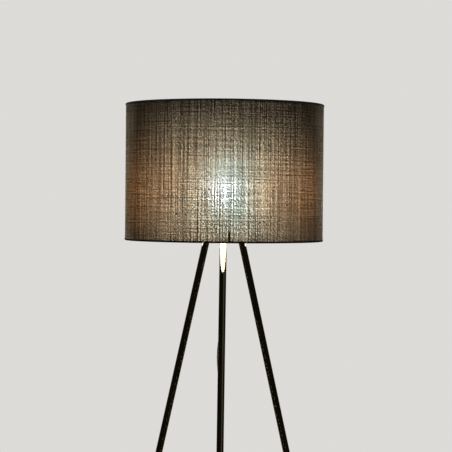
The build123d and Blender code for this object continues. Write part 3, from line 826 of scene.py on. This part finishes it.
def add_piece(name: str, data: bpy.types.ID, finish: Finish, body: Body,
              stands_for: Iterable[str]) -> bpy.types.Object:
    """Adds an object to the lamp, with its finish and the body that carries it.

    Args:
        name: the piece's name.
        data: its mesh or curve.
        finish: what it is made of.
        body: the body that it rides on.
        stands_for: the CAD nodes that it replaces.

    Returns:
        The piece.
    """
    data.materials.append(finish.material)
    piece = add_object(name, data)
    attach(piece, body.value)
    nodes = list(stands_for)
    if nodes:
        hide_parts(*nodes)
    log.info("%s on %s, for %s", name, body.value, ", ".join(nodes) or "no node")
    return piece


def dress(finish: Finish, *nodes: str) -> None:
    """Gives CAD nodes, which keep their shape, a finish."""
    for node in nodes:
        frame["nodes"][node].material_slots[0].material = finish.material
        log.info("%s in %s", node, finish.name)


@dataclass
class Shade:
    """The drum shade: linen on a film, two taped rims and the wire frame."""

    lap: float = 0.010
    lap_rise: float = 0.0006
    fold: float = 0.0026
    columns: int = 288
    linen_rows: int = 48
    film_rows: int = 8
    tape_rows: int = 16

    def build(self) -> None:
        """Makes the cloth and dresses the wire."""
        self.linen()
        self.film()
        self.tape(Side.TOP, "shade_top_tape")
        self.tape(Side.BOTTOM, "shade_bottom_tape")
        dress(WIRE, "shade_top_ring", "shade_spider")

    def around(self, out: float, turn: float, height: float) -> Place:
        """A place on the drum, where a turn of 0 is at the back."""
        angle = pi / 2 + turn
        return AXIS.x + out * cos(angle), AXIS.y + out * sin(angle), height

    def linen(self) -> None:
        """The linen, cut flat, rolled round and lapped over its own end at the back."""
        radius = reach_of("shade_fabric") - self.lap_rise / 2
        low = low_of("shade_fabric")
        girth = 2 * pi * radius
        height = high_of("shade_fabric") - low

        def roll(along: float, across: float) -> Place:
            """A flat point on the drum, starting at the back."""
            out = radius + self.lap_rise * min(1.0, max(0.0, (along - girth + self.lap) / self.lap))
            return self.around(out, along / radius, low + across)

        length = girth + self.lap
        form = Form.bent(length, height, (self.columns, self.linen_rows), roll)
        piece = form.piece("shade_linen", LINEN, Body.LAMP, ["shade_fabric"])

    def film(self) -> None:
        """The white film behind the linen."""
        radius = reach_of("shade_backing")
        low = low_of("shade_backing")
        height = high_of("shade_backing") - low

        def roll(along: float, across: float) -> Place:
            """A flat point on the film, starting at the back."""
            return self.around(radius, along / radius, low + across)

        form = Form.bent(2 * pi * radius, height, (self.columns, self.film_rows), roll).closed()
        form.piece("shade_film", FILM, Body.LAMP, ["shade_backing"])

    def tape(self, side: Side, node: str) -> None:
        """The tape folded round a rim and its ring.

        Args:
            side: which rim it is.
            node: the CAD node that the tape stands for.
        """
        outer = reach_of(node)
        depth = high_of(node) - low_of(node)
        fold = self.fold
        flank = depth - fold
        width = 2 * flank + pi * fold
        rim = low_of(node) if side is Side.BOTTOM else high_of(node)

        def wrap(along: float, across: float) -> Place:
            """A flat point on the folded tape, from inside the shade to outside."""
            if across < flank:
                out, up = outer - 2 * fold, depth - across
            elif across > width - flank:
                out, up = outer, depth - (width - across)
            else:
                bend = pi - (across - flank) / fold
                out, up = outer - fold + fold * cos(bend), fold - fold * sin(bend)
            return self.around(out, along / outer, rim + side.value * up)

        form = Form.bent(2 * pi * outer, width, (self.columns, self.tape_rows), wrap).closed()
        piece = form.piece(f"{side.name.lower()}_edge_tape", TAPE, Body.LAMP, [node])


@dataclass
class Legs:
    """The three brass tubes and their rubber feet."""

    lean: float = radians(14.2)
    tube: float = 0.008
    wall: float = 0.0012
    start: float = 0.009
    ends: float = 0.002
    socket: float = 0.008
    foot_wall: float = 0.003
    foot_height: float = 0.034
    groove: float = 0.0007
    grooves: tuple[float, ...] = (0.0150, 0.0195, 0.0240)
    groove_width: float = 0.0016
    slack: float = 0.00005
    leg_flats: int = 128
    leg_edge: float = 0.0004
    foot_flats: int = 72
    foot_edge: float = 0.0006

    def build(self) -> None:
        """Makes the tubes and feet and dresses the studs that join them to the hub."""
        for mount in frame["record"]["mounts"]:
            if mount["kind"] == "flat_face":
                name = mount["name"].split("_")[1]
                place = self.stand(Vector(mount["pos_m"]))
                self.leg(name, place)
                self.foot(name, place)
        dress(CONTACT, "leg_plugs")
        dress(ZINC, "leg_studs")

    def stand(self, pad: Vector) -> Matrix:
        """A leg's own frame: its origin on the floor and Z up along the tube.

        Args:
            pad: where the leg's axis meets the floor.

        Returns:
            The frame.
        """
        outward = (pad - AXIS).normalized()
        up = Vector(UP) * cos(self.lean) - outward * sin(self.lean)
        side = up.cross(outward).normalized()
        across = side.cross(up)
        turned = Matrix((across, side, up)).transposed().to_4x4()
        return Matrix.Translation(pad) @ turned

    def leg(self, name: str, place: Matrix) -> None:
        """One tube."""
        top = low_of("hub_body") / cos(self.lean) + self.socket
        bore = self.tube - self.wall
        low = self.start + self.ends
        high = top - self.ends
        wall = [(bore, low), (bore, self.start), (self.tube, self.start), (self.tube, low)]
        wall += [(self.tube, high), (self.tube, top), (bore, top), (bore, high), (bore, low)]
        form = Form.turned(wall, self.leg_flats).softened(self.leg_edge).placed(place)
        form.piece(f"brass_leg_{name}", TUBE_BRASS, Body.LAMP, [f"leg_{name}"])

    def foot(self, name: str, place: Matrix) -> None:
        """One rubber foot, grooved for grip and cut flat on the floor."""
        bore = self.tube + self.slack
        outer = bore + self.foot_wall
        outline = [(bore, self.foot_height), (bore, self.start), (0.0, self.start)]
        outline += [(0.0, -outer), (outer, -outer)]
        for height in self.grooves:
            outline += [(outer, height - self.groove_width / 2), (outer - self.groove, height)]
            outline += [(outer, height + self.groove_width / 2)]
        outline += [(outer, self.foot_height), (bore, self.foot_height)]
        form = Form.turned(outline, self.foot_flats).softened(self.foot_edge, 3).placed(place)
        form.cut(0.0, keep_above=True).filled()
        form.piece(f"rubber_foot_{name}", RUBBER, Body.LAMP, [f"foot_{name}"])


@dataclass
class Hub:
    """The turned hub and what is screwed through it."""

    def build(self) -> None:
        """Dresses the CAD nodes."""
        dress(HUB_BRASS, "hub_body")
        dress(ZINC, "hub_nipple", "hub_washer", "hub_nut")
        dress(HOLDER, "cord_gland")
        dress(SHEATH, "cord_in_nipple")


@dataclass
class Lampholder:
    """The lampholder: its threaded skirt, cap, rings and contacts."""

    pitch: float = 0.0025
    thread_depth: float = 0.0007
    plain: float = 0.0012
    bore: float = 0.0155
    lip: float = 0.0010
    spigot_inset: float = 0.0024
    hole: float = 0.011
    floor: float = 0.003

    def build(self) -> None:
        """Makes the threaded skirt and dresses the rest."""
        self.skirt()
        dress(HOLDER, "holder_cap", "clamp_ring_lower", "clamp_ring_upper")
        dress(PORCELAIN, "holder_insert")
        dress(CONTACT, "holder_shell", "holder_contact")

    def skirt(self) -> None:
        """The skirt, whose outside is threaded for the two clamp rings."""
        low = high_of("holder_cap")
        high = high_of("holder_skirt")
        outer = reach_of("holder_skirt")
        root = outer - self.thread_depth
        form = Form.threaded(outer, root, self.pitch, low + self.plain, high - self.plain)
        collar = [(root, low), (outer - self.lip / 4, low), (outer - self.lip / 4, low + self.plain)]
        form.joined(Form.turned([*collar, (root, low + self.plain), (root, low)]))
        mouth = [(root, high - self.plain), (outer - self.lip / 4, high - self.plain)]
        mouth += arc((outer - self.lip, high - self.lip), self.lip * 0.75, 0.0, 90.0, 4)
        mouth += [(self.bore + self.lip / 2, high - self.lip / 4), (self.bore, high - self.lip)]
        mouth += [(self.bore, low), (root, low), (root, high - self.plain)]
        form.joined(Form.turned(mouth))
        neck = outer - self.spigot_inset
        foot = low_of("holder_skirt")
        step = low - self.floor
        spigot = [(self.bore, low), (neck, low), (neck, foot), (self.hole, foot), (self.hole, step)]
        form.joined(Form.turned([*spigot, (self.bore, step), (self.bore, low)])).placed(ON_AXIS)
        form.piece("threaded_skirt", HOLDER, Body.LAMP, ["holder_skirt"])


@dataclass
class Bulb:
    """The frosted pear bulb on its screw cap."""

    neck: float = 0.0125
    shoulder: float = 38.0
    wall: float = 0.0008
    pitch: float = 0.003629
    thread_depth: float = 0.0011
    collar: float = 0.0035
    collar_inset: float = 0.0002
    collar_rise: float = 0.0006
    cone: float = 0.0025
    cone_inset: float = 0.0003

    def build(self) -> None:
        """Makes the glass and the threaded cap and dresses what is inside."""
        self.glass()
        self.cap()
        dress(CAP_METAL, "bulb_tip")
        dress(BLACK_GLASS, "bulb_insulator")
        dress(STEM_GLASS, "bulb_stem")
        dress(STICKS, "bulb_sticks")

    def glass(self) -> None:
        """The glass: a straight neck, a flare and a ball."""
        top = high_of("bulb_glass")
        low = low_of("bulb_glass")
        ball = reach_of("bulb_glass")
        centre = top - ball
        angle = radians(self.shoulder)
        joint = ball * cos(angle)
        bend = (joint - self.neck) / (1 - cos(angle))
        flare = centre - ball * sin(angle) - bend * sin(angle)
        outside = [(0.0, low), (self.neck, low)]
        outside += arc((self.neck + bend, flare), bend, 180.0, 180.0 - self.shoulder, 12)
        outside += arc((0.0, centre), ball, -self.shoulder, 90.0, 32)[1:]
        form = Form.turned(outside).placed(ON_AXIS)
        form.piece("bulb_frosted_glass", BULB_GLASS, Body.BULB, ["bulb_glass"])

    def cap(self) -> None:
        """The rolled cap: a cone at its foot, a coarse round thread and a plain collar."""
        low = low_of("bulb_cap")
        high = high_of("bulb_cap")
        outer = reach_of("bulb_cap")
        root = outer - self.thread_depth
        foot = reach_of("bulb_insulator")
        form = Form.threaded(outer, root, self.pitch, low + self.cone, high - self.collar)
        cone = [(foot - self.wall, low), (foot, low), (outer - self.cone_inset, low + self.cone)]
        form.joined(Form.turned([*cone, (root, low + self.cone)]))
        rim = outer - self.collar_inset
        collar = [(root, high - self.collar), (rim, high - self.collar + self.collar_rise)]
        form.joined(Form.turned([*collar, (rim, high), (self.neck, high)]))
        form.placed(ON_AXIS).piece("bulb_screw_cap", CAP_METAL, Body.BULB, ["bulb_cap"])


@dataclass
class FootSwitch:
    """The foot switch: its housing, sprung button and strain reliefs."""

    dish: float = 0.0010
    rings: tuple[float, ...] = (0.0042, 0.0066, 0.0090)
    ring_depth: float = 0.0005
    ring_width: float = 0.0007
    edge: float = 0.0018
    shank: float = 0.013
    flange: float = 0.002
    press: float = 0.0025
    sleeve_root: float = 0.005
    sleeve_tip: float = 0.004
    sleeve_inside: float = 0.004
    sleeve_edge: float = 0.00015
    ribs: int = 5
    rib_depth: float = 0.0008
    groove_from: float = 0.35
    groove_to: float = 0.75
    groove_room: float = 0.5
    button_flats: int = 72
    sleeve_flats: int = 48

    def build(self) -> list[bpy.types.Object]:
        """Makes the button and strain reliefs and dresses the housing.

        Returns:
            What sits on the cord.
        """
        made = [self.button(), self.sleeves()]
        nodes = ["switch_base", "switch_cover"]
        dress(SWITCH, *nodes)
        dress(SPRING, "switch_spring")
        dress(CONTACT, "switch_terminals")
        self.spring()
        return made + [frame["nodes"][node] for node in nodes]

    def spring(self) -> None:
        """Gives the spring a mesh of its own."""
        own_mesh(frame["nodes"]["switch_spring"])

    def button(self) -> bpy.types.Object:
        """The push button, dished and ringed for the foot."""
        low = low_of("switch_button")
        high = high_of("switch_button")
        place = middle("switch_button")
        hole = reach_of("switch_button") - place.x
        step = low + self.flange
        face = self.shank - self.edge
        outline = [(0.0, low), (hole, low), (hole, step), (self.shank, step)]
        outline += arc((face, high - self.edge), self.edge, 0.0, 90.0, 6)
        for radius in reversed(self.rings):
            level = high - self.dish * (1 - (radius / face) ** 2)
            outline += [(radius + self.ring_width, level), (radius, level - self.ring_depth)]
            outline += [(radius - self.ring_width, level)]
        outline += [(0.0, high - self.dish)]
        form = Form.turned(outline, self.button_flats).placed(Matrix.Translation((place.x, place.y, 0.0)))
        return form.piece("foot_button", SWITCH, Body.BUTTON, ["switch_button"])

    def sleeves(self) -> bpy.types.Object:
        """The two ribbed strain reliefs."""
        low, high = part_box("switch_sleeves")
        centre = middle("switch_sleeves")
        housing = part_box("switch_base")
        root = self.sleeve_root
        taper = root - self.sleeve_tip
        form = Form()
        for side, end, wall in ((-1.0, low[0], housing[0][0]), (1.0, high[0], housing[1][0])):
            length = abs(end - wall)
            pace = length / (self.ribs + self.groove_room)
            outline = [(0.0, -self.sleeve_inside), (root, -self.sleeve_inside), (root, 0.0)]
            for index in range(self.ribs):
                start = pace * (index + self.groove_from)
                finish = pace * (index + self.groove_to)
                waist = root - taper * start / length
                groove = waist - self.rib_depth
                outline += [(waist, start), (groove, start), (groove, finish), (waist, finish)]
            outline += [(self.sleeve_tip, length), (0.0, length)]
            turn = Matrix.Rotation(side * pi / 2, 4, "Y")
            place = Matrix.Translation((wall, centre.y, centre.z)) @ turn
            sleeve = Form.turned(outline, self.sleeve_flats).softened(self.sleeve_edge, 1)
            form.joined(sleeve.placed(place))
        return form.piece("switch_strain_reliefs", SWITCH, Body.LAMP, ["switch_sleeves"])


@dataclass
class MainsPlug:
    """The flat two-pin plug."""

    pin: float = 0.002
    pin_root: float = 0.0025
    pin_round: float = 0.0012
    sleeve: float = 0.0019
    sleeve_length: float = 0.010
    tail_root: float = 0.005
    tail_tip: float = 0.004
    tail_length: float = 0.024
    ribs: int = 5
    rib_sink: float = 0.0004
    rib_rise: float = 0.0006
    rib_crest: float = 0.0007
    rib_foot: float = 0.0012
    edge: float = 0.0002
    pin_flats: int = 48
    rib_flats: int = 40

    def build(self) -> list[bpy.types.Object]:
        """Makes the pins and the ribs of the tail and dresses the body.

        Returns:
            What sits on the cord's end.
        """
        made = [*self.pins(), self.tail()]
        dress(SWITCH, "plug_body")
        return [*made, frame["nodes"]["plug_body"]]

    def pins(self) -> list[bpy.types.Object]:
        """The two pins, each with a sleeve over its inner half."""
        low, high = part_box("plug_pins")
        level = middle("plug_pins").z
        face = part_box("plug_body")[0][1]
        length = face - low[1]
        half = self.sleeve_length
        metal = Form()
        sleeves = Form()
        for x in (low[0] + self.pin_root, high[0] - self.pin_root):
            place = Matrix.Translation((x, face, level)) @ Matrix.Rotation(pi / 2, 4, "X")
            outline = [(0.0, half), (self.pin, half)]
            centre = (self.pin - self.pin_round, length - self.pin_round)
            outline += arc(centre, self.pin_round, 0.0, 90.0, 6)
            metal.joined(Form.turned([*outline, (0.0, length)], self.pin_flats).placed(place))
            cover = [(0.0, 0.0), (self.sleeve, 0.0), (self.sleeve, half), (0.0, half)]
            sleeves.joined(Form.turned(cover, self.pin_flats).softened(self.edge).placed(place))
        return [
            metal.piece("plug_pin_tips", NICKEL, Body.LAMP, ["plug_pins"]),
            sleeves.piece("plug_pin_sleeves", SWITCH, Body.LAMP),
        ]

    def tail(self) -> bpy.types.Object:
        """Ribs round the plug's soft tail."""
        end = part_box("plug_body")[1][1]
        centre = middle("plug_body")
        form = Form()
        for index in range(self.ribs):
            share = (index + 1) / (self.ribs + 1)
            radius = self.tail_root + (self.tail_tip - self.tail_root) * share
            foot = radius - self.rib_sink
            crest = radius + self.rib_rise
            rib = [(foot, -self.rib_foot), (crest, -self.rib_crest), (crest, self.rib_crest)]
            rib += [(foot, self.rib_foot), (foot, -self.rib_foot)]
            place = Matrix.Translation((centre.x, end - self.tail_length * (1 - share), centre.z))
            turn = Matrix.Rotation(-pi / 2, 4, "X")
            form.joined(Form.turned(rib, self.rib_flats).softened(self.edge).placed(place @ turn))
        return form.piece("plug_tail_ribs", SWITCH, Body.LAMP)


@dataclass
class PowerCord:
    """The cord: a free drop to the foot switch, then a tied coil and the stretch to the plug."""

    diameter: float = 0.006
    drop_length: float = 1.23
    rest_length: float = 1.94
    coil_x: float = 0.070
    coil_y: float = 0.112
    coil_reach: float = 0.046
    coil_inner: float = 0.025
    coil_step: float = 0.00325
    half_turns_in: int = 6
    half_turns_out: int = 5
    points_in_half_turn: int = 8
    low: float = 0.0042
    high: float = 0.0107
    floor: float = 0.0032
    strap: float = 0.0008
    strap_round: float = 0.0038

    def build(self, switch: list[bpy.types.Object], plug: list[bpy.types.Object]) -> None:
        """Lays both stretches and ties the coil.

        Args:
            switch: the pieces of the foot switch, which are not used.
            plug: the pieces of the plug, which are not used.
        """
        tie = self.tie()
        drop = self.lay("cord_to_switch", self.drop_route(), ["cord_drop"])
        rest = self.lay("cord_to_plug", self.rest_route(), ["cord_lead", "cord_coil", "cord_end"])
        self.rest_route()[0]

    def drop_route(self) -> list[Place]:
        """From the gland, free behind the front leg, down to the foot switch."""
        switch = middle("switch_sleeves")
        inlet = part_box("switch_sleeves")[0][0]
        points = [
            (0.0, 0.0, low_of("cord_gland")),
            (0.0, 0.0, 1.150),
            (-0.0012, 0.0012, 1.092),
            (-0.0036, 0.0026, 1.034),
            (-0.0068, 0.0034, 0.984),
            (-0.0116, 0.0034, 0.937),
            (-0.0074, 0.0026, 0.888),
            (-0.0044, 0.0010, 0.828),
            (-0.0036, -0.0014, 0.754),
            (-0.0046, -0.0038, 0.678),
            (-0.0068, -0.0050, 0.600),
            (-0.0094, -0.0044, 0.522),
            (-0.0112, -0.0026, 0.446),
            (-0.0114, -0.0008, 0.372),
            (-0.0090, 0.0008, 0.302),
            (-0.0036, 0.0022, 0.238),
            (0.0050, 0.0036, 0.180),
            (0.0170, 0.0050, 0.128),
            (0.0334, 0.0064, 0.082),
            (0.0540, 0.0074, 0.045),
            (0.0780, 0.0080, 0.019),
            (0.1010, 0.0080, switch.z),
            (inlet, 0.0080, switch.z),
        ]
        return [(x, y + AXIS.y, z) for x, y, z in points]

    def rest_route(self) -> list[Place]:
        """From the foot switch round to the coil, through its turns and on to the plug."""
        switch = middle("switch_sleeves")
        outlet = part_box("switch_sleeves")[1][0]
        plug = middle("plug_body")
        plug_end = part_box("plug_body")[1][1] - AXIS.y
        lead = [
            (outlet, 0.0080, switch.z),
            (0.254, 0.0080, switch.z),
            (0.272, 0.0145, 0.0054),
            (0.286, 0.0300, 0.0036),
            (0.292, 0.0530, self.floor),
            (0.290, 0.0800, self.floor),
            (0.279, 0.1050, self.floor),
            (0.260, 0.1255, self.floor),
            (0.233, 0.1405, self.floor),
            (0.198, 0.1505, self.floor),
            (0.160, 0.1562, 0.0037),
            (0.118, 0.1580, self.low),
        ]
        end = [
            (0.036, 0.15475, self.high),
            (0.005, 0.1505, 0.0084),
            (-0.027, 0.1400, 0.0050),
            (-0.058, 0.1215, self.floor),
            (-0.084, 0.0940, self.floor),
            (-0.101, 0.0600, 0.0038),
            (plug.x, 0.0240, plug.z),
            (plug.x, plug_end, plug.z),
        ]
        return [(x, y + AXIS.y, z) for x, y, z in [*lead, *self.coil_turns(), *end]]

    def coil_turns(self) -> list[Place]:
        """The coil's turns: in along the floor, up a layer at the middle and out again on top."""
        reaches = [self.coil_reach - self.coil_step * index for index in range(self.half_turns_in)]
        outward = [reaches[-1] + self.coil_step * index for index in range(self.half_turns_out)]
        reaches += [self.coil_inner, self.coil_inner, *outward]
        stretch = 1 / cos(pi / 2 / self.points_in_half_turn)
        turns = []
        for index in range((len(reaches) - 1) * self.points_in_half_turn + 1):
            half = index / self.points_in_half_turn
            before = min(int(half), len(reaches) - 2)
            share = half - before
            reach = stretch * (reaches[before] + (reaches[before + 1] - reaches[before]) * share)
            climb = min(1.0, max(0.0, half - self.half_turns_in))
            angle = pi / 2 + pi * half
            level = self.low + (self.high - self.low) * climb
            turns.append((self.coil_x + reach * cos(angle), self.coil_y + reach * sin(angle), level))
        return turns

    def lay(self, name: str, route: Sequence[Place], stands_for: Sequence[str]) -> bpy.types.Object:
        """A stretch of cord on one smooth spline.

        Args:
            name: the piece's name.
            route: the spline's control points.
            stands_for: the CAD nodes that it replaces.

        Returns:
            The piece.
        """
        curve = bpy.data.curves.new(name, "CURVE")
        curve.dimensions = "3D"
        curve.bevel_depth = self.diameter / 2
        curve.bevel_resolution = 5
        curve.use_fill_caps = True
        spline = curve.splines.new("NURBS")
        spline.points.add(len(route) - 1)
        for point, place in zip(spline.points, route):
            point.co = (*place, 1.0)
        spline.order_u = 3
        spline.use_endpoint_u = True
        spline.resolution_u = 8
        return add_piece(name, curve, SHEATH, Body.LAMP, stands_for)

    def tie(self) -> bpy.types.Object:
        """The strap round one side of the coil: a band with rounded corners."""
        low, high = (Vector(corner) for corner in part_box("coil_tie"))
        size = high - low
        form = Form()
        inner = Matrix.Translation(middle("coil_tie")) @ Matrix.Diagonal((size.x, size.y, size.z, 1.0))
        bmesh.ops.create_cube(form.mesh, size=1.0, matrix=inner)
        ends = [face for face in form.mesh.faces if abs(face.normal.y) > 0.5]
        bmesh.ops.delete(form.mesh, geom=ends, context="FACES_ONLY")
        corners = [edge for edge in form.mesh.edges if abs((edge.verts[0].co - edge.verts[1].co).y) > MERGE]
        form.bevelled(corners, self.strap_round, 6)
        bmesh.ops.recalc_face_normals(form.mesh, faces=form.mesh.faces)
        bmesh.ops.solidify(form.mesh, geom=form.mesh.faces[:], thickness=self.strap)
        return form.piece("coil_strap", STRAP, Body.LAMP, ["coil_tie"])


@dataclass
class Studio:
    """The camera, the floor and the light."""

    lens: float = 128.48
    sensor: float = 36.0
    away: float = 3.662
    sideways: float = 0.0048
    height: float = 1.2945
    turn: float = radians(1.352)
    pitch: float = radians(0.956)
    roll: float = radians(0.516)
    floor_radius: float = 2.2
    backdrop: Colour = (0.72, 0.71, 0.69)
    dim: Colour = (0.0055, 0.0053, 0.005)
    overhead: Colour = (4.6, 4.5, 4.4)
    overhead_way: Place = (-0.10, -0.20, 1.0)
    overhead_edge: Point = (0.86, 0.95)
    fill: Colour = (0.055, 0.054, 0.052)
    fill_way: Place = (0.72, -0.60, 0.35)
    fill_edge: Point = (0.90, 0.97)
    behind_edge: Point = (0.75, 1.0)
    above_edge: Point = (-0.12, 0.08)
    above_loss: float = 0.7

    def build(self) -> None:
        """Sets up everything that isn't the lamp."""
        bpy.context.scene.view_settings.view_transform = "Standard"
        self.camera()
        self.floor()
        self.world()

    def camera(self) -> None:
        """The camera, at the photograph's viewing angle."""
        data = bpy.data.cameras.new("camera")
        data.lens = self.lens
        data.sensor_width = self.sensor
        data.clip_end = 60.0
        camera = add_object("camera", data)
        round_lamp = Matrix.Rotation(self.turn, 4, "Z")
        stand = ON_AXIS @ round_lamp @ Matrix.Translation((self.sideways, -self.away, self.height))
        aim = Matrix.Rotation(pi / 2 - self.pitch, 4, "X") @ Matrix.Rotation(self.roll, 4, "Z")
        camera.matrix_world = stand @ aim
        bpy.context.scene.camera = camera

    def floor(self) -> None:
        """A round pale floor that fades into the background."""
        form = bmesh.new()
        bmesh.ops.create_circle(form, cap_ends=True, segments=96, radius=self.floor_radius)
        mesh = bpy.data.meshes.new("floor")
        form.to_mesh(mesh)
        form.free()
        mesh.materials.append(StudioFloor("studio_floor", "").material)
        floor = add_object("floor", mesh)

    def world(self) -> None:
        """A pale backdrop, a dim room in front, a soft light overhead and a weak one aside."""
        world = bpy.data.worlds.new("studio")
        bpy.context.scene.world = world
        world.use_nodes = True
        graph = Graph(world.node_tree)
        world.cycles.sampling_method = "NONE"
        way = graph.coordinates("Generated")
        above = graph.step(graph.part(way, "Z"), *self.above_edge)
        behind = graph.step(graph.part(way, "Y"), *self.behind_edge) * (1.0 - self.above_loss * above)
        room = graph.mixed(behind, self.dim, self.backdrop)
        aside = graph.mixed(self.towards(graph, way, self.fill_way, self.fill_edge), room, self.fill)
        overhead = self.towards(graph, way, self.overhead_way, self.overhead_edge)
        lit = graph.mixed(overhead, aside, self.overhead)
        seen = graph.node("ShaderNodeLightPath", output="Is Camera Ray")
        colour = graph.mixed(seen, lit, self.backdrop)
        background = graph.node("ShaderNodeBackground", inputs={"Color": colour, "Strength": 1.0})
        graph.node("ShaderNodeOutputWorld", inputs={"Surface": background})

    def towards(self, graph: Graph, way: Sock, middle_way: Place, edge: Point) -> Sock:
        """A soft round patch of the sky.

        Args:
            graph: where the nodes go.
            way: the direction that is looked in.
            middle_way: the direction of the patch's middle.
            edge: the cosines at its edge and where it is full.

        Returns:
            1 in the patch and 0 outside it.
        """
        inputs = {0: way, 1: tuple(Vector(middle_way).normalized())}
        near = graph.node("ShaderNodeVectorMath", {"operation": "DOT_PRODUCT"}, inputs, output="Value")
        return graph.step(near, *edge)


def main() -> None:
    """Builds the lamp's sub-assemblies in order, then the studio."""
    logging.basicConfig(level=logging.INFO, format="%(message)s")
    Shade().build()
    Legs().build()
    Hub().build()
    Lampholder().build()
    Bulb().build()
    PowerCord().build(FootSwitch().build(), MainsPlug().build())
    Studio().build()


if __name__ == "__main__":
    main()
